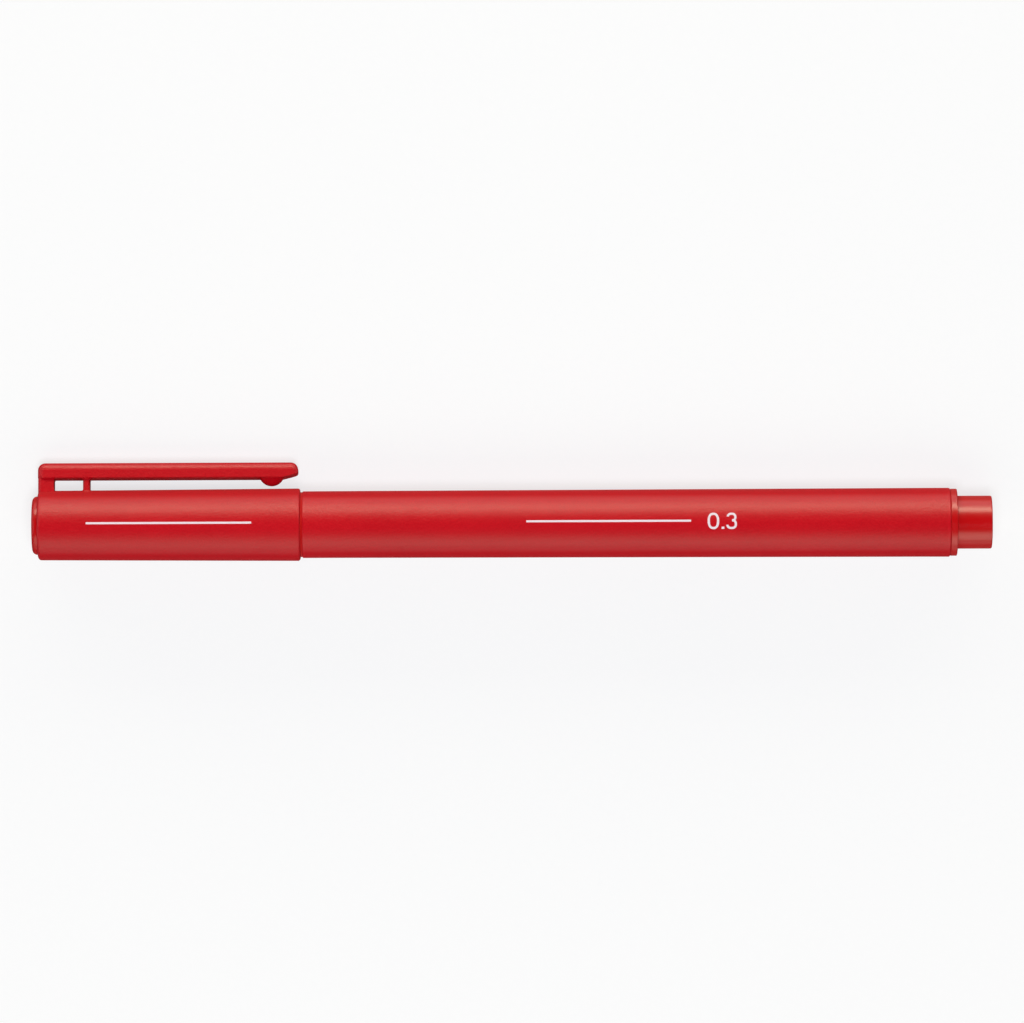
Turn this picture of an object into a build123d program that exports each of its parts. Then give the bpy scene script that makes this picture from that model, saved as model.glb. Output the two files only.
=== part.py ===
from build123d import *
from math import asin, atan2, cos, degrees, hypot, radians, sin
import os

# A capped fineliner pen, lying as it comes to rest on a table: on the cap's mouth and the clip's edge.
# +X runs along the pen to its tail, +Z is up, and the origin is the centre of the flat tail face.
# Lengths are in millimetres. Gaps and steps are measured out from the pen's axis, on one side.

# Fits
press_gap = 0.02  # between pieces that are pressed together
slide_gap = 0.05  # between the cap's fitting faces and what they slide over
stop_gap = 0.1  # along the axis, before a stop
overrun = 1.0  # how far a cut runs past the face that it opens

# Barrel
barrel_length = 93.1
barrel_front_diameter = 9.6
barrel_tail_growth = 0.32  # diameter gained towards the tail
barrel_wall = 0.8
barrel_front_edge_radius = 0.18
barrel_tail_edge_radius = 0.25
barrel_bore_chamfer = 0.3
barrel_rib_count = 6
barrel_rib_width = 0.6
barrel_rib_setback = 0.5  # from the section's shank and from the tail plug

# Grip section
flange_thickness = 0.25
flange_step = 0.13  # in from the barrel's side
shank_length = 9.0
shank_chamfer = 0.3
neck_length = 6.0
neck_step = 0.995  # in from the barrel's side
neck_wall = 0.66
snap_bead_height = 0.12
snap_bead_length = 0.9
snap_bead_share = 0.4  # of the neck's length, from the flange
grip_length = 14.0
grip_taper = 0.2
grip_edge_radius = 0.3
seal_land_length = 3.0
seal_land_step = 0.7  # in from the grip's front edge
seal_land_chamfer = 0.25
cone_length = 6.0
nose_wall = 0.35
reservoir_pocket_depth = 11.0  # from the flange's front

# Nib and its steel sleeve
sleeve_diameter = 2.0
sleeve_tip_diameter = 1.0
sleeve_seat_length = 7.0
sleeve_reach = 2.4  # out of the nose
sleeve_neck_length = 0.5
sleeve_crimp = 0.12
nib_diameter = 1.4
nib_tip_diameter = 0.5
nib_reach = 0.8  # out of the sleeve
nib_bite = 6.0  # into the reservoir
nib_rear_chamfer = 0.3
nib_gap = 0.04

# Ink reservoir and its film
film_thickness = 0.12
reservoir_gap = 0.08

# Tail plug
spigot_length = 5.0
spigot_edge_radius = 0.2
collar_length = 0.98
collar_step = 0.135  # in from the barrel's side
collar_edge_radius = 0.15
plug_shank_length = 14.0
plug_shank_step = 0.25  # in from the barrel's bore, between the rings
plug_shank_chamfer = 0.4
plug_ring_length = 0.9
plug_ring_shares = (0.2, 0.45, 0.7)  # of the plug's shank, from the collar
plug_wall = 1.0
plug_end_wall = 1.2

# Cap
cap_seat_gap = 0.04  # between the cap's mouth and the flange
cap_overhang = 0.41  # the mouth's side beyond the barrel's
cap_draft = 0.22  # lost towards the closed end
cap_wall = 0.8
cap_end_wall = 1.2
cap_end_radius = 0.5
cap_lip_radius = 0.34
cap_mouth_chamfer = 0.12
cap_rib_count = 6
cap_rib_width = 0.7
cap_rib_length = 10.0
cap_rib_setback = 1.2  # from the mouth
cap_rib_lead = 0.8

# Clip, moulded with the cap
clip_width = 4.2
clip_thickness = 2.2
clip_gap = 1.48  # from the cap's mouth to the clip's underside
clip_setback = 0.3  # from the cap's mouth
clip_corner_radius = 1.1  # seen from above
clip_edge_radius = 1.05  # round the top
clip_lower_edge_radius = 0.12
clip_web_width = 3.4
clip_block_setback = 0.04  # from the clip's heel
clip_block_length = 2.28
clip_block_corner = 0.6
clip_window_length = 4.18
clip_post_length = 0.97
clip_post_corner = 0.42
clip_window_fillet = 0.25
clip_lead_length = 2.35
clip_lead_rise = 0.6
clip_lead_radius = 0.35
clip_bump_radius = 1.87
clip_bump_clearance = 0.36  # from the bump to the cap
clip_bump_setback = 4.12  # from the cap's mouth
clip_root_share = 0.65  # of the cap's wall that the clip's feet reach into

# Inner cap and crown
nib_room = 1.34  # ahead of the nib's point
inner_cap_setback = 0.4  # from the grip's front edge
inner_cap_wall = 0.55
inner_cap_web = 0.8
inner_cap_mouth_chamfer = 0.2
inner_cap_fin_count = 4
inner_cap_fin_width = 0.6
inner_cap_fin_length = 8.0
crown_socket_depth = 2.2
crown_step = 0.795  # in from the cap's closed end
crown_height = 0.93
crown_dome = 0.15
crown_edge_radius = 0.7
crown_shank_diameter = 4.6
crown_shank_chamfer = 0.3

# Places along the pen, from the tail to the crown
spigot_root_x = -spigot_length
barrel_tail_x = spigot_root_x - collar_length
barrel_front_x = barrel_tail_x - barrel_length
flange_x = barrel_front_x - flange_thickness
neck_front_x = flange_x - neck_length
grip_front_x = neck_front_x - grip_length
land_front_x = grip_front_x - seal_land_length
nose_x = land_front_x - cone_length
sleeve_tip_x = nose_x - sleeve_reach
nib_tip_x = sleeve_tip_x - nib_reach
inner_cap_web_x = nib_tip_x - nib_room
cap_floor_x = inner_cap_web_x - inner_cap_web - crown_socket_depth
crown_shank_end_x = cap_floor_x + crown_socket_depth - stop_gap
cap_end_x = cap_floor_x - cap_end_wall
crown_x = cap_end_x - crown_height
cap_mouth_x = flange_x - cap_seat_gap
inner_cap_mouth_x = grip_front_x - inner_cap_setback

# Places inside the barrel
shank_rear_x = barrel_front_x + shank_length
plug_front_x = barrel_tail_x - plug_shank_length
pocket_front_x = flange_x - reservoir_pocket_depth
reservoir_front_x = pocket_front_x + stop_gap
reservoir_rear_x = plug_front_x - stop_gap
sleeve_rear_x = nose_x + sleeve_seat_length
nib_rear_x = reservoir_front_x + nib_bite

# Radii of the barrel and what fits in it
barrel_front_radius = barrel_front_diameter / 2
barrel_tail_radius = (barrel_front_diameter + barrel_tail_growth) / 2
bore_radius = barrel_front_radius - barrel_wall
shank_radius = bore_radius - press_gap
flange_radius = barrel_front_radius - flange_step
neck_radius = barrel_front_radius - neck_step
pocket_radius = neck_radius - neck_wall
film_radius = pocket_radius - reservoir_gap
fibre_radius = film_radius - film_thickness - press_gap
collar_radius = barrel_tail_radius - collar_step
plug_shank_radius = bore_radius - plug_shank_step
plug_core_radius = plug_shank_radius - plug_wall

# Radii of the grip, the nib and its sleeve
grip_front_radius = neck_radius - grip_taper
land_radius = grip_front_radius - seal_land_step
sleeve_radius = sleeve_diameter / 2
sleeve_tip_radius = sleeve_tip_diameter / 2
sleeve_seat_radius = sleeve_radius + press_gap
nose_radius = sleeve_seat_radius + nose_wall
nib_radius = nib_diameter / 2
nib_tip_radius = nib_tip_diameter / 2
nib_channel_radius = nib_radius + nib_gap
nib_tip_channel_radius = nib_tip_radius + nib_gap

# Radii of the cap and what fits in it
cap_mouth_radius = barrel_front_radius + cap_overhang
cap_closed_radius = cap_mouth_radius - cap_draft
cap_bore_radius = cap_mouth_radius - cap_wall
cap_bore_end_radius = cap_closed_radius - cap_wall
cap_rib_radius = neck_radius + snap_bead_height + slide_gap
crown_radius = cap_closed_radius - crown_step
crown_shank_radius = crown_shank_diameter / 2
crown_hole_radius = crown_shank_radius + press_gap
seal_radius = land_radius + slide_gap
inner_cap_radius = seal_radius + inner_cap_wall

# The clip's plane, with X along the pen and Y out through the clip.
# Its droop lets the clip's lower edge touch the table that the cap's mouth lies on.
clip_underside = cap_mouth_radius + clip_gap
clip_edge_out = clip_underside + clip_thickness - clip_edge_radius
clip_edge_across = clip_width / 2 - clip_edge_radius
clip_edge_reach = hypot(clip_edge_out, clip_edge_across)
clip_edge_drop = degrees(asin((cap_mouth_radius - clip_edge_radius) / clip_edge_reach))
clip_droop = clip_edge_drop - degrees(atan2(clip_edge_across, clip_edge_out))
clip_outward = Vector(0, cos(radians(clip_droop)), -sin(radians(clip_droop)))
clip_plane = Plane(origin=(0, 0, 0), x_dir=(1, 0, 0), y_dir=clip_outward)
clip_out_axis = Axis((0, 0, 0), clip_outward)
clip_across_axis = Axis((0, 0, 0), clip_plane.z_dir)
clip_root_x = cap_end_x
clip_tip_x = cap_mouth_x - clip_setback

os.makedirs("parts", exist_ok=True)


def corner(sketch, along, out):
    """The corner of a half section that lies nearest to a place along and out from the pen's axis."""
    return sketch.vertices().sort_by_distance((along, out))[0]


# Barrel: a drafted tube with ribs inside that hold the reservoir and leave air round it.
with BuildPart() as barrel:
    with BuildSketch() as barrel_section:
        with BuildLine():
            Polyline(
                (barrel_front_x, bore_radius),
                (barrel_front_x, barrel_front_radius),
                (barrel_tail_x, barrel_tail_radius),
                (barrel_tail_x, bore_radius),
                close=True,
            )
        make_face()
        fillet(corner(barrel_section, barrel_front_x, barrel_front_radius), barrel_front_edge_radius)
        fillet(corner(barrel_section, barrel_tail_x, barrel_tail_radius), barrel_tail_edge_radius)
        chamfer(corner(barrel_section, barrel_front_x, bore_radius), barrel_bore_chamfer)
        chamfer(corner(barrel_section, barrel_tail_x, bore_radius), barrel_bore_chamfer)
    revolve(axis=Axis.X)
    barrel_rib_x = shank_rear_x + barrel_rib_setback
    barrel_rib_out = bore_radius + barrel_wall / 2
    with BuildSketch(Plane.YZ.offset(barrel_rib_x)):
        with PolarLocations((pocket_radius + barrel_rib_out) / 2, barrel_rib_count):
            Rectangle(barrel_rib_out - pocket_radius, barrel_rib_width)
    extrude(amount=plug_front_x - barrel_rib_setback - barrel_rib_x)
barrel.part.label = "barrel"
export_step(barrel.part, "parts/barrel.step")

# Grip section: pressed into the barrel up to its flange, with the neck and bead that hold the cap,
# the grip, the land that the inner cap seals on, and the cone.
with BuildPart() as grip_section:
    with BuildSketch() as grip_half:
        with BuildLine():
            Polyline(
                (shank_rear_x, pocket_radius),
                (shank_rear_x, shank_radius),
                (barrel_front_x, shank_radius),
                (barrel_front_x, flange_radius),
                (flange_x, flange_radius),
                (flange_x, neck_radius),
                (neck_front_x, neck_radius),
                (grip_front_x, grip_front_radius),
                (grip_front_x, land_radius),
                (land_front_x, land_radius),
                (land_front_x, land_radius - seal_land_chamfer),
                (nose_x, nose_radius),
                (nose_x, sleeve_seat_radius),
                (sleeve_rear_x, sleeve_seat_radius),
                (sleeve_rear_x, nib_channel_radius),
                (pocket_front_x, nib_channel_radius),
                (pocket_front_x, pocket_radius),
                close=True,
            )
        make_face()
        chamfer(corner(grip_half, shank_rear_x, shank_radius), shank_chamfer)
        fillet(corner(grip_half, grip_front_x, grip_front_radius), grip_edge_radius)
    revolve(axis=Axis.X)
    snap_bead_x = flange_x - neck_length * snap_bead_share
    with BuildSketch():
        with BuildLine():
            snap_bead_arc = ThreePointArc(
                (snap_bead_x - snap_bead_length / 2, neck_radius),
                (snap_bead_x, neck_radius + snap_bead_height),
                (snap_bead_x + snap_bead_length / 2, neck_radius),
            )
            Polyline(
                snap_bead_arc @ 1,
                (snap_bead_x + snap_bead_length / 2, neck_radius - snap_bead_height),
                (snap_bead_x - snap_bead_length / 2, neck_radius - snap_bead_height),
                snap_bead_arc @ 0,
            )
        make_face()
    revolve(axis=Axis.X)
grip_section.part.label = "grip_section"
export_step(grip_section.part, "parts/grip_section.step")

# Nib sleeve: a drawn steel tube, necked down to the fine point and crimped at its mouth.
with BuildPart() as nib_sleeve:
    with BuildSketch():
        with BuildLine():
            Polyline(
                (sleeve_rear_x, nib_channel_radius),
                (sleeve_rear_x, sleeve_radius),
                (nose_x, sleeve_radius),
                (nose_x - sleeve_neck_length, sleeve_tip_radius),
                (sleeve_tip_x + sleeve_crimp, sleeve_tip_radius),
                (sleeve_tip_x, sleeve_tip_radius - sleeve_crimp),
                (sleeve_tip_x, nib_tip_channel_radius),
                (nose_x, nib_tip_channel_radius),
                (nose_x + sleeve_neck_length, nib_channel_radius),
                close=True,
            )
        make_face()
    revolve(axis=Axis.X)
nib_sleeve.part.label = "nib_sleeve"
export_step(nib_sleeve.part, "parts/nib_sleeve.step")

# Nib: a plastic rod, ground to a fine round point, whose rear sits in the reservoir.
with BuildPart() as nib:
    with BuildSketch() as nib_half:
        with BuildLine():
            nib_point = RadiusArc(
                (nib_tip_x, 0), (nib_tip_x + nib_tip_radius, nib_tip_radius), nib_tip_radius
            )
            Polyline(
                nib_point @ 1,
                (nose_x + nib_gap, nib_tip_radius),
                (nose_x + nib_gap + sleeve_neck_length, nib_radius),
                (nib_rear_x, nib_radius),
                (nib_rear_x, 0),
                nib_point @ 0,
            )
        make_face()
        chamfer(corner(nib_half, nib_rear_x, nib_radius), nib_rear_chamfer)
    revolve(axis=Axis.X)
nib.part.label = "nib"
export_step(nib.part, "parts/nib.step")

# Ink reservoir: a fibre rod with the hole that the nib has pushed into it.
with BuildPart() as ink_reservoir:
    with BuildSketch():
        with BuildLine():
            Polyline(
                (reservoir_front_x, nib_channel_radius),
                (reservoir_front_x, fibre_radius),
                (reservoir_rear_x, fibre_radius),
                (reservoir_rear_x, 0),
                (nib_rear_x + stop_gap, 0),
                (nib_rear_x + stop_gap, nib_channel_radius),
                close=True,
            )
        make_face()
    revolve(axis=Axis.X)
ink_reservoir.part.label = "ink_reservoir"
export_step(ink_reservoir.part, "parts/ink_reservoir.step")

# Reservoir film: the thin sleeve round the fibre, open at both ends.
with BuildPart() as reservoir_film:
    with BuildSketch(Plane.YZ.offset(reservoir_front_x)):
        Circle(film_radius)
        Circle(film_radius - film_thickness, mode=Mode.SUBTRACT)
    extrude(amount=reservoir_rear_x - reservoir_front_x)
reservoir_film.part.label = "reservoir_film"
export_step(reservoir_film.part, "parts/reservoir_film.step")

# Tail plug: a cored plug with rings that grip the barrel's bore, a collar that meets the barrel's end,
# and a spigot of the neck's diameter, so that the cap posts on it.
with BuildPart() as tail_plug:
    with BuildSketch() as plug_half:
        with BuildLine():
            Polyline(
                (plug_front_x, plug_core_radius),
                (plug_front_x, plug_shank_radius),
                (barrel_tail_x, plug_shank_radius),
                (barrel_tail_x, collar_radius),
                (spigot_root_x, collar_radius),
                (spigot_root_x, neck_radius),
                (0, neck_radius),
                (0, 0),
                (-plug_end_wall, 0),
                (-plug_end_wall, plug_core_radius),
                close=True,
            )
        make_face()
        chamfer(corner(plug_half, plug_front_x, plug_shank_radius), plug_shank_chamfer)
        fillet(corner(plug_half, barrel_tail_x, collar_radius), collar_edge_radius)
        fillet(corner(plug_half, spigot_root_x, collar_radius), collar_edge_radius)
        fillet(corner(plug_half, 0, neck_radius), spigot_edge_radius)
    revolve(axis=Axis.X)
    with BuildSketch() as plug_rings:
        for plug_ring_share in plug_ring_shares:
            plug_ring_x = barrel_tail_x - plug_shank_length * plug_ring_share
            with BuildLine():
                Polyline(
                    (plug_ring_x - plug_ring_length, plug_shank_radius),
                    (plug_ring_x, bore_radius - press_gap),
                    (plug_ring_x, plug_shank_radius - plug_wall / 2),
                    (plug_ring_x - plug_ring_length, plug_shank_radius - plug_wall / 2),
                    close=True,
                )
            make_face()
    revolve(axis=Axis.X)
tail_plug.part.label = "tail_plug"
export_step(tail_plug.part, "parts/tail_plug.step")

# Clip: a bar that stands off the cap on a root block and a thin post, with a window between them.
# A round bump under its free end holds the cloth of a pocket, and the end lifts to lead the cloth in.
with BuildPart() as clip:
    with BuildSketch(Plane(clip_outward * clip_underside, (1, 0, 0), clip_outward)):
        with Locations(((clip_root_x + clip_tip_x) / 2, 0)):
            RectangleRounded(clip_tip_x - clip_root_x, clip_width, clip_corner_radius)
    extrude(amount=clip_thickness)
    fillet(clip.faces().sort_by(clip_out_axis)[-1].edges(), clip_edge_radius)
    with BuildSketch(clip_plane) as clip_lead:
        with BuildLine():
            Polyline(
                (clip_tip_x - clip_lead_length, clip_underside),
                (clip_tip_x, clip_underside + clip_lead_rise),
                (clip_tip_x, clip_underside + clip_lead_rise + overrun),
                (clip_tip_x + overrun, clip_underside + clip_lead_rise + overrun),
                (clip_tip_x + overrun, clip_underside - overrun),
                (clip_tip_x - clip_lead_length, clip_underside - overrun),
                close=True,
            )
        make_face()
        fillet(corner(clip_lead, clip_tip_x, clip_underside + clip_lead_rise), clip_lead_radius)
    extrude(amount=clip_width, both=True, mode=Mode.SUBTRACT)
    fillet(clip.edges().filter_by(Axis.X).group_by(clip_out_axis)[0], clip_lower_edge_radius)
    clip_foot_out = cap_closed_radius - cap_wall * clip_root_share
    clip_head_out = clip_underside + clip_thickness / 2
    clip_block_x = clip_root_x + clip_block_setback
    clip_window_x = clip_block_x + clip_block_length
    clip_post_x = clip_window_x + clip_window_length
    with BuildSketch(Plane(clip_outward * clip_foot_out, (1, 0, 0), clip_outward)) as clip_feet:
        with Locations((clip_block_x + clip_block_length / 2, 0)):
            Rectangle(clip_block_length, clip_web_width)
        fillet(clip_feet.vertices().group_by(Axis.X)[0], clip_block_corner)
        with Locations((clip_post_x + clip_post_length / 2, 0)):
            RectangleRounded(clip_post_length, clip_web_width, clip_post_corner)
    extrude(amount=clip_head_out - clip_foot_out)
    clip_bump_out = cap_mouth_radius + clip_bump_clearance + clip_bump_radius
    clip_bump_place = clip_plane.from_local_coords((cap_mouth_x - clip_bump_setback, clip_bump_out, 0))
    with Locations(Plane(clip_bump_place, (1, 0, 0), clip_outward)):
        Sphere(clip_bump_radius, arc_size2=0, align=(Align.CENTER, Align.CENTER, Align.MAX))

# Cap: a drafted shell, open at the mouth, with the clip on its side, ribs inside that grip the neck
# and a hole in its end wall for the crown.
with BuildPart() as cap:
    with BuildSketch() as cap_half:
        with BuildLine():
            Polyline(
                (cap_end_x, crown_hole_radius),
                (cap_end_x, cap_closed_radius),
                (cap_mouth_x, cap_mouth_radius),
                (cap_mouth_x, cap_bore_radius),
                (cap_floor_x, cap_bore_end_radius),
                (cap_floor_x, crown_hole_radius),
                close=True,
            )
        make_face()
        fillet(corner(cap_half, cap_end_x, cap_closed_radius), cap_end_radius)
        fillet(corner(cap_half, cap_mouth_x, cap_mouth_radius), cap_lip_radius)
        chamfer(corner(cap_half, cap_mouth_x, cap_bore_radius), cap_mouth_chamfer)
    revolve(axis=Axis.X)
    cap_rib_x = cap_mouth_x - cap_rib_setback
    cap_rib_out = cap_bore_radius + cap_wall / 3
    for cap_rib_number in range(cap_rib_count):
        with BuildSketch(Plane.XY.rotated((360 / cap_rib_count * cap_rib_number, 0, 0))):
            with BuildLine():
                Polyline(
                    (cap_rib_x, cap_rib_out),
                    (cap_rib_x, cap_bore_radius),
                    (cap_rib_x - cap_rib_lead, cap_rib_radius),
                    (cap_rib_x - cap_rib_length, cap_rib_radius),
                    (cap_rib_x - cap_rib_length, cap_rib_out),
                    close=True,
                )
            make_face()
        extrude(amount=cap_rib_width / 2, both=True)
    add(clip.part)
    block_edges = cap.edges().filter_by_position(Axis.X, clip_window_x - press_gap, clip_window_x + press_gap)
    fillet(block_edges.sort_by(SortBy.LENGTH)[-2:], clip_window_fillet)
    post_edges = cap.edges().filter_by_position(Axis.X, clip_post_x, clip_post_x + clip_post_length)
    fillet(post_edges.filter_by(clip_out_axis, reverse=True), clip_window_fillet)
cap.part.label = "cap"
export_step(cap.part, "parts/cap.step")

# Inner cap: a thimble that closes on the section's land round the nib, centred in the cap by fins
# and held by the crown's shank in its rear socket.
with BuildPart() as inner_cap:
    with BuildSketch() as inner_cap_half:
        with BuildLine():
            Polyline(
                (cap_floor_x, crown_hole_radius),
                (cap_floor_x, inner_cap_radius),
                (inner_cap_mouth_x, inner_cap_radius),
                (inner_cap_mouth_x, seal_radius),
                (inner_cap_web_x, seal_radius),
                (inner_cap_web_x, 0),
                (inner_cap_web_x - inner_cap_web, 0),
                (inner_cap_web_x - inner_cap_web, crown_hole_radius),
                close=True,
            )
        make_face()
        chamfer(corner(inner_cap_half, inner_cap_mouth_x, seal_radius), inner_cap_mouth_chamfer)
    revolve(axis=Axis.X)
    fin_in = inner_cap_radius - inner_cap_wall / 2
    fin_out = cap_bore_end_radius - press_gap
    with BuildSketch(Plane.YZ.offset(cap_floor_x)):
        with PolarLocations((fin_in + fin_out) / 2, inner_cap_fin_count):
            Rectangle(fin_out - fin_in, inner_cap_fin_width)
    extrude(amount=inner_cap_fin_length)
inner_cap.part.label = "inner_cap"
export_step(inner_cap.part, "parts/inner_cap.step")

# Cap crown: a low domed head on the cap's end, whose shank pins the inner cap in place.
with BuildPart() as cap_crown:
    with BuildSketch() as crown_half:
        with BuildLine():
            crown_arc = TangentArc((crown_x, 0), (crown_x + crown_dome, crown_radius), tangent=(0, 1))
            Polyline(
                crown_arc @ 1,
                (cap_end_x, crown_radius),
                (cap_end_x, crown_shank_radius),
                (crown_shank_end_x, crown_shank_radius),
                (crown_shank_end_x, 0),
                crown_arc @ 0,
            )
        make_face()
        fillet(corner(crown_half, crown_x + crown_dome, crown_radius), crown_edge_radius)
        chamfer(corner(crown_half, crown_shank_end_x, crown_shank_radius), crown_shank_chamfer)
    revolve(axis=Axis.X)
cap_crown.part.label = "cap_crown"
export_step(cap_crown.part, "parts/cap_crown.step")

print("overall length", -crown_x, "cap length", cap_mouth_x - cap_end_x, "clip droop", clip_droop)
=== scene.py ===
import bpy
import bmesh
import math
from mathutils import Matrix, Vector


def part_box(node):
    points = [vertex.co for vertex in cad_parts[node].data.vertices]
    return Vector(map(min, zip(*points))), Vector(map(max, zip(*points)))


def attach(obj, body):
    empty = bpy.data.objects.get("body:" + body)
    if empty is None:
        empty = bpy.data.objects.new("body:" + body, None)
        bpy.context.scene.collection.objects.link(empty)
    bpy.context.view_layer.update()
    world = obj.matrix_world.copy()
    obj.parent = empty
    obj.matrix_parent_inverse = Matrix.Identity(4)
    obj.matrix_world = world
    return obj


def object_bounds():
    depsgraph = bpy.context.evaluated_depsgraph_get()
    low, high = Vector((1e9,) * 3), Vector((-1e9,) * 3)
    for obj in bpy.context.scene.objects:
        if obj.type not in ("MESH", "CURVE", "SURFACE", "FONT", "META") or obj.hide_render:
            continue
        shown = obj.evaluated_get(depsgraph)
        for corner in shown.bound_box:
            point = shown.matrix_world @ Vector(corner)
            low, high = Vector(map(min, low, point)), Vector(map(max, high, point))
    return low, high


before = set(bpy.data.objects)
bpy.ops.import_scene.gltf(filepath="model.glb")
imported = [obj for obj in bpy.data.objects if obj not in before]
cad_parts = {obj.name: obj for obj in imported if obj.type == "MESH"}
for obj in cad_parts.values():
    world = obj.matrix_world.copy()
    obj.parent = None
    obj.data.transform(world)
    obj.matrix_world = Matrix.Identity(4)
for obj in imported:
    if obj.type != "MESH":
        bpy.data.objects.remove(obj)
cad_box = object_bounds()

# Ink reservoir and film: a rod of bonded polyester fibre soaked with red ink, in a thin clear film.
# The rod is drawn and cut to length, and it is pushed into the barrel from the tail, up to the nib.

mm = 0.001
fibre_soaked = (0.16, 0.002, 0.006, 1)
fibre_drained = (0.5, 0.02, 0.03, 1)
film_stained = (0.75, 0.62, 0.6, 1)
film_clear = (0.92, 0.85, 0.84, 1)


class Wire:
    """An output in a finish's node tree. Arithmetic on wires adds Math nodes, and node() adds any other."""

    def __init__(self, tree, socket=None):
        self.tree = tree
        self.socket = socket

    def node(self, kind, settings, values, output=0):
        """Adds a node, makes its settings, fills its sockets with values or wires, and gives one output."""
        added = self.tree.nodes.new(kind)
        for name, setting in settings.items():
            setattr(added, name, setting)
        for key, value in values.items():
            if isinstance(value, Wire):
                self.tree.links.new(value.socket, added.inputs[key])
            else:
                added.inputs[key].default_value = value
        return Wire(self.tree, added.outputs[output])

    def math(self, operation, *terms):
        return self.node("ShaderNodeMath", {"operation": operation}, dict(enumerate(terms)))

    def __add__(self, other):
        return self.math("ADD", self, other)

    def __sub__(self, other):
        return self.math("SUBTRACT", self, other)

    def __rsub__(self, other):
        return self.math("SUBTRACT", other, self)

    def __mul__(self, other):
        return self.math("MULTIPLY", self, other)

    __radd__ = __add__
    __rmul__ = __mul__

    def axis(self, letter):
        return self.node("ShaderNodeSeparateXYZ", {}, {"Vector": self}, letter)

    def stretched(self, x, y, z):
        return self.node("ShaderNodeMapping", {}, {"Vector": self, "Scale": (x, y, z)})

    def length(self):
        return self.node("ShaderNodeVectorMath", {"operation": "LENGTH"}, {0: self}, "Value")

    def noise(self, scale, detail=2.0):
        """Soft noise round 0.5, with scale cells to a metre."""
        return self.node("ShaderNodeTexNoise", {}, {"Vector": self, "Scale": scale, "Detail": detail})

    def step(self, start, full):
        """0 before start and 1 past full, which may be the lower of the two, with a soft change between."""
        limits = {"Value": self, "From Min": start, "From Max": full}
        return self.node("ShaderNodeMapRange", {"interpolation_type": "SMOOTHSTEP"}, limits)

    def tint(self, first, second):
        """The first colour where this wire is 0, and the second where it is 1."""
        # A Mix node has its colours on sockets 6 and 7, and the mixed colour on output 2.
        return self.node("ShaderNodeMix", {"data_type": "RGBA"}, {0: self, 6: first, 7: second}, 2)

    def grazing(self, start, full):
        """0 where the surface is seen face on, rising to 1 towards its edge, for gloss."""
        return self.node("ShaderNodeLayerWeight", {}, {"Blend": 0.5}, "Facing").step(start, full)

    def relief(self, depth):
        """This wire as a height, depth metres from 0 to 1."""
        return self.node("ShaderNodeBump", {}, {"Height": self, "Distance": depth})


def finish(name, fixed, paint):
    """A material with fixed values on the shader's own sockets, and paint that varies with the place."""
    material = bpy.data.materials.new(name)
    material.use_nodes = True
    tree = material.node_tree
    shader = tree.nodes["Principled BSDF"]
    for socket, value in fixed.items():
        shader.inputs[socket].default_value = value
    place = Wire(tree).node("ShaderNodeTexCoord", {}, {}, "Object")
    for socket, wire in paint(place).items():
        tree.links.new(wire.socket, shader.inputs[socket])
    return material


def dress(node, material):
    """Gives a CAD node its finish."""
    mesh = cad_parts[node].data
    mesh.materials.clear()
    mesh.materials.append(material)


def soaked_fibre(place):
    strands = place.stretched(0.04, 1.0, 1.0).noise(9000.0, 3.0)
    soak = place.noise(180.0)
    return {
        "Base Color": (0.6 * strands + 0.5 * soak).tint(fibre_soaked, fibre_drained),
        "Roughness": 0.75 + 0.2 * strands,
        "Normal": strands.relief(0.06 * mm),
    }


def clear_film(place):
    pull = place.stretched(0.1, 1.0, 1.0).noise(2500.0)
    return {
        "Base Color": pull.tint(film_stained, film_clear),
        "Roughness": 0.1 + 0.15 * pull,
        "Normal": pull.relief(0.01 * mm),
    }


dress("ink_reservoir", finish("ink_fibre", {"Specular IOR Level": 0.2}, soaked_fibre))
dress("reservoir_film", finish("film", {"Alpha": 0.45, "IOR": 1.49}, clear_film))

# Nib and sleeve: a drawn steel tube necked down to the line width, with a fine plastic point inside it.
# The sleeve is pressed into the nose of the section, and the nib's rear end feeds from the reservoir.

steel_bare = (0.63, 0.62, 0.61, 1)
steel_inked = (0.32, 0.11, 0.11, 1)
point_dry = (0.4, 0.03, 0.04, 1)
point_wet = (0.2, 0.003, 0.008, 1)
sleeve_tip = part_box("nib_sleeve")[0].x
stain_start = sleeve_tip + 0.73 * mm
stain_full = sleeve_tip - 0.07 * mm
nib_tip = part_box("nib")[0].x
wet_start = nib_tip + 0.63 * mm
wet_full = nib_tip + 0.03 * mm


def drawn_steel(place):
    rings = place.stretched(1.0, 0.05, 0.05).noise(30000.0, 3.0)
    stain = place.axis("X").step(stain_start, stain_full) * place.noise(4000.0).step(0.35, 0.75)
    return {
        "Base Color": stain.tint(steel_bare, steel_inked),
        "Roughness": 0.2 + 0.16 * rings,
        "Normal": rings.relief(0.003 * mm),
    }


def inked_point(place):
    wet = place.axis("X").step(wet_start, wet_full)
    grain = place.noise(12000.0, 3.0)
    return {
        "Base Color": (0.7 * wet + 0.3 * grain).tint(point_dry, point_wet),
        "Roughness": 0.6 - 0.3 * wet + 0.1 * grain,
        "Normal": grain.relief(0.012 * mm),
    }


dress("nib_sleeve", finish("drawn_steel", {"Metallic": 1.0}, drawn_steel))
dress("nib", finish("inked_point", {"IOR": 1.48}, inked_point))

# Grip section: a red polypropylene moulding, smooth on the neck and a little dulled where it is held.
# Its shank is pressed into the barrel up to the thin flange that shows as a dark line below the cap.

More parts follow.
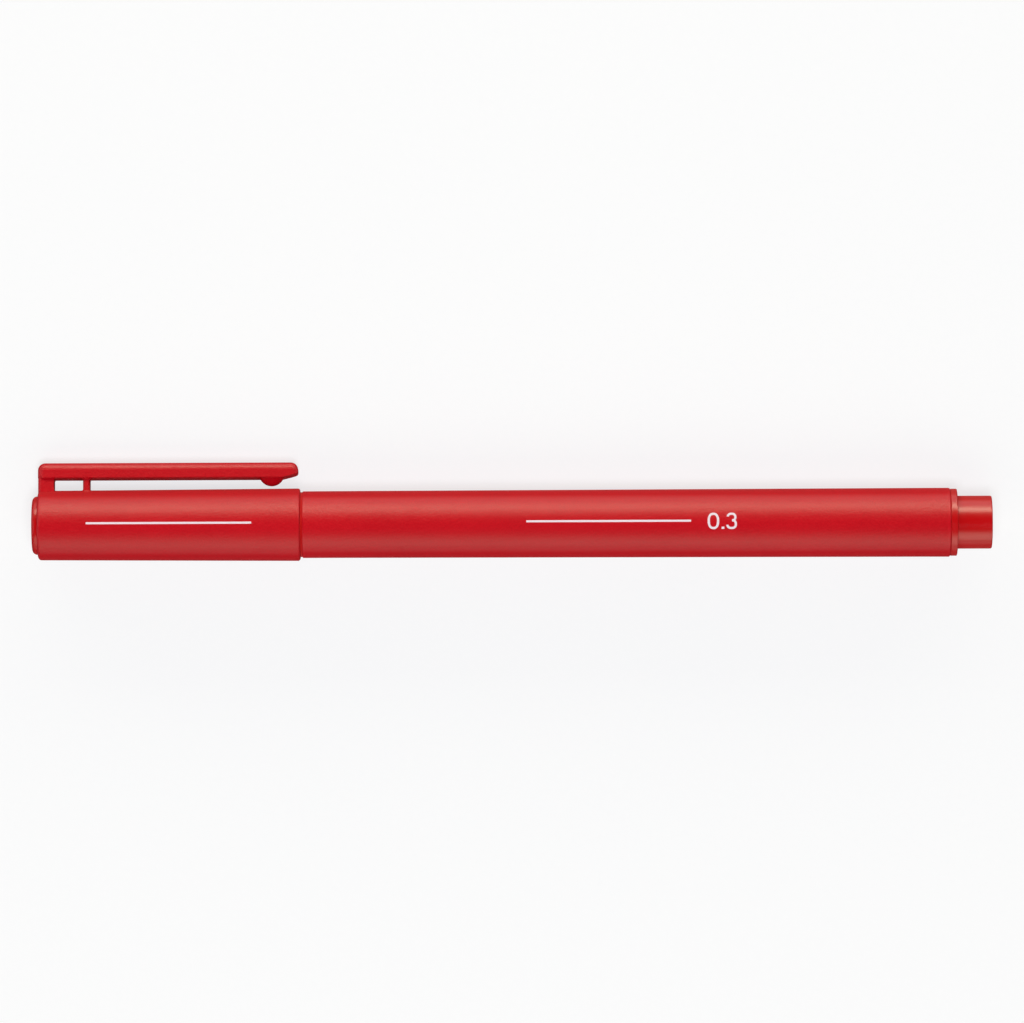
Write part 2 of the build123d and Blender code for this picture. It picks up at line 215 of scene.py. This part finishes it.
section_red = (0.5, 0.004, 0.010, 1)
section_held = (0.54, 0.008, 0.014, 1)
# Painted light: the flange's red is lighter than the moulding's, to stand in for light that the shaded gap
# under the cap's lip keeps off it.
flange_painted_light = (0.57, 0.0003, 0.002, 1)
barrel_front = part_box("barrel")[0].x
flange_start = barrel_front - 0.42 * mm
flange_full = barrel_front - 0.32 * mm
held_rear_start = barrel_front - 5.92 * mm
held_rear_full = barrel_front - 7.12 * mm
held_front_start = barrel_front - 20.42 * mm
held_front_full = barrel_front - 18.92 * mm


def moulded_section(place):
    flow = place.stretched(0.3, 1.0, 1.0).noise(700.0)
    skin = place.noise(7000.0)
    along = place.axis("X")
    held = along.step(held_rear_start, held_rear_full) * along.step(held_front_start, held_front_full)
    flange = along.step(flange_start, flange_full)
    moulded = (0.5 * flow + 0.4 * held).tint(section_red, section_held)
    return {
        # The flange's band takes its lighter colour here, a painted lift against the shade of its gap.
        "Base Color": flange.tint(moulded, flange_painted_light),
        "Roughness": 0.24 + 0.1 * flow + 0.12 * held + 0.45 * flange,
        "Normal": (skin * (0.3 + 0.7 * held)).relief(0.006 * mm),
    }


dress("grip_section", finish("moulded_section", {"IOR": 1.5}, moulded_section))

# Barrel: a red polypropylene tube moulded with a fine matt texture, a little thicker towards the tail.
# It comes out of the mould over a long core, so its draft runs one way and it has no seam on its side.

satin_red = (0.645, 0.0012, 0.0117, 1)
satin_deep = (0.49, 0.0004, 0.0073, 1)
satin_rubbed = (0.61, 0.003, 0.013, 1)
satin_fixed = {"IOR": 1.5, "Specular IOR Level": 0.65}
barrel_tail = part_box("barrel")[1].x
front_rub_start = barrel_front + 0.58 * mm
front_rub_full = barrel_front + 0.08 * mm
tail_rub_start = barrel_tail - 0.82 * mm
tail_rub_full = barrel_tail - 0.12 * mm


def satin(place, rubbed):
    """The matt red of the barrel and the cap, with rubbed going from 0 to 1 where use has polished it."""
    grain = place.noise(5200.0).step(0.28, 0.72)
    cloud = place.noise(95.0)
    patch = rubbed * place.noise(1500.0).step(0.3, 0.7)
    base = (0.5 * cloud + 0.5 * grain).tint(satin_deep, satin_red)
    return {
        "Base Color": patch.tint(base, satin_rubbed),
        "Roughness": 0.37 + 0.1 * grain - 0.05 * patch + 0.62 * place.grazing(0.25, 0.55),
        "Normal": grain.relief(0.014 * mm),
    }


def satin_barrel(place):
    along = place.axis("X")
    ends = along.step(front_rub_start, front_rub_full) + along.step(tail_rub_start, tail_rub_full)
    return satin(place, ends)


dress("barrel", finish("satin_barrel", satin_fixed, satin_barrel))

# Barrel print: the line width as a plain number and a rule of that width, in white screen ink.
# The ink lies on the side that is about a quarter turn from the clip, and it stands a hundredth of a
# millimetre high. Places are taken along the pen's axis and, round its side, up from the print's line.

ink_thin = (0.83, 0.70, 0.82, 1)
ink_full = (0.92, 0.82, 0.91, 1)
ink_height = 0.01 * mm
print_turn = math.radians(18.1)
rule_width = 0.3 * mm
number_stroke = 0.33 * mm
number_up = 0.33 * mm
number_squareness = 2.4
zero_middle = (-40.1 * mm, number_up)
zero_half = (0.665 * mm, 1.03 * mm)
zero_span = (0, 360)
zero_points = 73
point_up = number_up - 1.0 * mm
number_point = [(-38.93 * mm, point_up), (-38.53 * mm, point_up)]
three_x = -37.5 * mm
upper_middle = (three_x, number_up + 0.54 * mm)
upper_half = (0.54 * mm, 0.49 * mm)
upper_span = (170, -82)
lower_middle = (three_x, number_up - 0.47 * mm)
lower_half = (0.61 * mm, 0.56 * mm)
lower_span = (84, -170)
bowl_points = 40
barrel_rule = [(-66.9 * mm, 0.37 * mm), (-43.3 * mm, 0.37 * mm)]
barrel_front_radius = 4.8 * mm
barrel_tail_radius = 4.96 * mm


def screen_ink(place):
    mesh_marks = place.noise(6000.0)
    return {
        "Base Color": mesh_marks.tint(ink_thin, ink_full),
        "Roughness": 0.45 + 0.15 * mesh_marks,
        "Normal": mesh_marks.relief(0.003 * mm),
    }


ink = finish("screen_ink", {"IOR": 1.47}, screen_ink)


def drafted(node, low_radius, high_radius):
    """Gives the radius at any x of a node's round side, which runs straight from end to end of its box."""
    low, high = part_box(node)

    def radius(x):
        return low_radius + (high_radius - low_radius) * (x - low.x) / (high.x - low.x)

    return radius


def bowl(middle, half, span, count):
    """Points along a squarish oval, between two angles in degrees from the right."""
    start, end = span
    points = []
    for i in range(count):
        angle = math.radians(start + (end - start) * i / (count - 1))
        across = math.cos(angle)
        up = math.sin(angle)
        size = abs(across) ** number_squareness + abs(up) ** number_squareness
        reach = size ** (-1 / number_squareness)
        points.append((middle[0] + half[0] * reach * across, middle[1] + half[1] * reach * up))
    return points


def printed(name, lines, width, radius, body):
    """Lays lines of ink of one width on the round side of a body."""
    shape = bmesh.new()
    for points in lines:
        last = len(points) - 1
        rows = []
        for i, (x, up) in enumerate(points):
            before = Vector(points[max(i - 1, 0)])
            after = Vector(points[min(i + 1, last)])
            if points[0] == points[last] and i in (0, last):
                before = Vector(points[last - 1])
                after = Vector(points[1])
            run = (after - before).normalized() * width / 2
            row = []
            for side in (-1, 1):
                place_x = x - side * run.y
                reach = radius(place_x) + ink_height
                turn = print_turn + (up + side * run.x) / reach
                row.append(shape.verts.new((place_x, reach * math.sin(turn), reach * math.cos(turn))))
            rows.append(row)
        for low, high in zip(rows, rows[1:]):
            shape.faces.new((low[0], high[0], high[1], low[1]))
    mesh = bpy.data.meshes.new(name)
    shape.to_mesh(mesh)
    shape.free()
    mesh.materials.append(ink)
    piece = bpy.data.objects.new(name, mesh)
    bpy.context.scene.collection.objects.link(piece)
    # The sheet's underside goes as far below the moulding's skin as its top stands above it.
    thickness = piece.modifiers.new("ink", "SOLIDIFY")
    thickness.thickness = 2 * ink_height
    thickness.offset = -1.0
    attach(piece, body)


zero = bowl(zero_middle, zero_half, zero_span, zero_points)
zero[-1] = zero[0]
upper_bowl = bowl(upper_middle, upper_half, upper_span, bowl_points)
lower_bowl = bowl(lower_middle, lower_half, lower_span, bowl_points)
number = [zero, number_point, upper_bowl, lower_bowl]
barrel_radius = drafted("barrel", barrel_front_radius, barrel_tail_radius)
printed("barrel_number", number, number_stroke, barrel_radius, "pen")
printed("barrel_rule", [barrel_rule], rule_width, barrel_radius, "pen")

# Tail plug: a glossier red moulding that closes the barrel, with a collar and a spigot that takes the cap.
# Its ringed shank is pressed into the barrel's tail, and it comes from a polished mould.

gloss_red = (0.53, 0.0002, 0.002, 1)
gloss_light = (0.57, 0.0008, 0.005, 1)
gloss_fixed = {"IOR": 1.5, "Specular IOR Level": 0.95}


def polished(place):
    flow = place.noise(260.0)
    scuff = place.stretched(0.2, 1.0, 1.0).noise(9000.0, 3.0)
    return {
        "Base Color": flow.tint(gloss_red, gloss_light),
        "Roughness": 0.24 + 0.07 * flow + 0.06 * scuff + 0.62 * place.grazing(0.25, 0.55),
        "Normal": scuff.relief(0.001 * mm),
    }


dress("tail_plug", finish("polished_plug", gloss_fixed, polished))

# Inner cap: an undyed polyethylene thimble that shuts on the section's land and keeps the nib from drying.
# Fins centre it in the cap, and the crown's shank pins it there.

undyed_milky = (0.72, 0.7, 0.66, 1)
undyed_pale = (0.83, 0.82, 0.79, 1)


def undyed(place):
    milk = place.noise(400.0)
    flow = place.stretched(0.3, 1.0, 1.0).noise(2200.0)
    return {
        "Base Color": (0.6 * milk + 0.3 * flow).tint(undyed_milky, undyed_pale),
        "Roughness": 0.38 + 0.14 * flow,
        "Normal": flow.relief(0.006 * mm),
    }


dress("inner_cap", finish("undyed", {"IOR": 1.51, "Subsurface Weight": 0.15}, undyed))

# Cap: the same matt red as the barrel, moulded in one shot with its clip, the clip's post and the bump.
# It slides over the neck, where its six inner ribs pass the bead and hold, and its mouth stops at the
# flange. A rule like the barrel's is printed on it.

cap_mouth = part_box("cap")[1].x
lip_rub_start = cap_mouth - 0.43 * mm
lip_rub_full = cap_mouth - 0.03 * mm
clip_rub_start = 7.8 * mm
clip_rub_full = 8.6 * mm
cap_rule = [(-130.0 * mm, 0.33 * mm), (-106.3 * mm, 0.33 * mm)]
cap_closed_radius = 4.99 * mm
cap_mouth_radius = 5.21 * mm


def satin_cap(place):
    lip = place.axis("X").step(lip_rub_start, lip_rub_full)
    off_axis = place.stretched(0.0, 1.0, 1.0).length()
    clip_back = off_axis.step(clip_rub_start, clip_rub_full)
    return satin(place, 0.7 * lip + 0.8 * clip_back)


dress("cap", finish("satin_cap", satin_fixed, satin_cap))
cap_radius = drafted("cap", cap_closed_radius, cap_mouth_radius)
printed("cap_rule", [cap_rule], rule_width, cap_radius, "cap_unit")

# Crown: a low domed head in the red of the tail plug, a little less glossy, set on the cap's flat end.
# Its shank goes through the cap's end wall and into the inner cap, where it is pressed home.

dress("cap_crown", finish("polished_crown", satin_fixed, polished))
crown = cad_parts["cap_crown"]
# The dome's faces are joined and their normals evened, so that it shines as one skin.
whole_skin = crown.modifiers.new("whole_skin", "WELD")
whole_skin.merge_threshold = 0.002 * mm
even_dome = crown.modifiers.new("even_dome", "WEIGHTED_NORMAL")
even_dome.keep_sharp = True

# Table: a wide sheet of plain white card under the pen, which lies on the cap's mouth and the clip's edge.
# It shows as white to the camera and in the gloss of the pen, takes the pen's shadow near it, and is an
# even white further off. It is no part of the pen.

table_size = 60.0
table_middle = (cad_box[0].x + cad_box[1].x) / 2
table_level = cad_box[0].z
card_smooth = (0.25, 0.25, 0.25, 1)
card_fibre = (0.265, 0.265, 0.265, 1)
card_far = (0.02, 0.02, 0.02, 1)
glow_none = (0.0, 0.0, 0.0, 1)
glow_near = (0.735, 0.739, 0.75, 1)
glow_far = (0.95, 0.95, 0.95, 1)
far_start = 0.12
far_full = 0.36
card_fixed = {"Specular IOR Level": 0.1, "Emission Strength": 1.0}
seen_by = ["Is Camera Ray", "Is Glossy Ray", "Is Transmission Ray"]


def white_card(place):
    fibre = place.noise(900.0)
    rays = [place.node("ShaderNodeLightPath", {}, {}, kind) for kind in seen_by]
    seen = rays[0] + rays[1] + rays[2]
    away = place.length().step(far_start, far_full)
    return {
        "Base Color": away.tint(fibre.tint(card_smooth, card_fibre), card_far),
        "Roughness": 0.9 + 0.05 * fibre,
        "Emission Color": seen.tint(glow_none, away.tint(glow_near, glow_far)),
    }


table_shape = bmesh.new()
bmesh.ops.create_grid(table_shape, x_segments=1, y_segments=1, size=table_size)
table_mesh = bpy.data.meshes.new("table")
table_shape.to_mesh(table_mesh)
table_shape.free()
table_mesh.materials.append(finish("white_card", card_fixed, white_card))
table = bpy.data.objects.new("table", table_mesh)
table.location = (table_middle, 0.0, table_level)
bpy.context.scene.collection.objects.link(table)

# Light: a long soft strip on each side of the pen, which draw the two bright lines along it, soft fill
# from the camera's side that the gloss doesn't show, and a small panel off the cap's end. The world adds
# very little. Angles, in degrees, go round the pen from the line of sight, which meets the print square.

camera_lean = print_turn
pen_middle = Vector((-0.06894, 0.0, 0.0))
plain_white = (1.0, 1.0, 1.0)
strip_length = 1.0
strip_distance = 0.45
far_strip_angle = 58
far_strip_height = 0.16
far_strip_level = 4.55
far_strip_tint = (1.0, 0.96, 0.74)
near_strip_angle = -66
near_strip_height = 0.34
near_strip_level = 1.22
near_strip_tint = (1.0, 0.96, 0.8)
fill_size = 0.25
fill_distance = 0.9
fill_tint = (0.95, 0.97, 1.04)
fills = [("fill_front", -13, 19.6), ("fill_near", -66, 1.2)]  # name, angle and level
panel_place = pen_middle + Vector((-0.5, 0.05, 0.22))
panel_length = 0.3
panel_height = 0.2
panel_level = 0.75
world_level = 0.02


def softbox(name, place, length, height, level, tint):
    """An area light at a place, turned to the pen, whose face is level times as bright as white."""
    lamp = bpy.data.lights.new(name, "AREA")
    lamp.shape = "RECTANGLE"
    lamp.size = length
    lamp.size_y = height
    lamp.energy = level * math.pi * length * height
    lamp.color = tint
    piece = bpy.data.objects.new(name, lamp)
    bpy.context.scene.collection.objects.link(piece)
    away = (place - pen_middle).normalized()
    # A lamp beside the pen lies along it, and one off its end lies across it.
    side = Vector((0.0, 1.0, 0.0)) if abs(away.x) > 0.5 else Vector((1.0, 0.0, 0.0))
    up = away.cross(side).normalized()
    side = up.cross(away)
    piece.matrix_world = Matrix((side, up, away)).transposed().to_4x4()
    piece.location = place
    piece.visible_camera = False
    return piece


def round_pen(degrees, distance):
    """A place at an angle from the camera's line of sight, towards +Y, round the pen's middle."""
    turn = camera_lean + math.radians(degrees)
    return pen_middle + Vector((0.0, math.sin(turn), math.cos(turn))) * distance


far_place = round_pen(far_strip_angle, strip_distance)
softbox("far_strip", far_place, strip_length, far_strip_height, far_strip_level, far_strip_tint)
near_place = round_pen(near_strip_angle, strip_distance)
softbox("near_strip", near_place, strip_length, near_strip_height, near_strip_level, near_strip_tint)
for fill_name, fill_angle, fill_level in fills:
    fill_place = round_pen(fill_angle, fill_distance)
    fill = softbox(fill_name, fill_place, fill_size, fill_size, fill_level, fill_tint)
    fill.visible_glossy = False
softbox("left_panel", panel_place, panel_length, panel_height, panel_level, plain_white)

world = bpy.data.worlds.new("studio")
bpy.context.scene.world = world
world.use_nodes = True
surround = world.node_tree.nodes["Background"]
surround.inputs["Color"].default_value = (*plain_white, 1.0)
surround.inputs["Strength"].default_value = world_level

# Camera: far off with a long lens, looking down on the pen and leaning towards the clip, which it sees
# edge on. It is turned by a fifth of a degree, as the pen lies in the picture.

camera_distance = 1.2
picture_width = 0.14725
picture_roll = math.radians(0.216)
axis_below_middle = 0.00178
pen_along = Vector((1.0, 0.0, 0.0))
back = Vector((0.0, math.sin(camera_lean), math.cos(camera_lean)))
upright = Vector((0.0, math.cos(camera_lean), -math.sin(camera_lean)))
picture_up = upright * math.cos(picture_roll) + pen_along * math.sin(picture_roll)
picture_right = pen_along * math.cos(picture_roll) - upright * math.sin(picture_roll)
camera_data = bpy.data.cameras.new("camera")
camera_data.lens = camera_data.sensor_width * camera_distance / picture_width
camera = bpy.data.objects.new("camera", camera_data)
bpy.context.scene.collection.objects.link(camera)
camera.matrix_world = Matrix((picture_right, picture_up, back)).transposed().to_4x4()
camera.location = pen_middle + upright * axis_below_middle + back * camera_distance
bpy.context.scene.camera = camera
bpy.context.scene.view_settings.view_transform = "Standard"
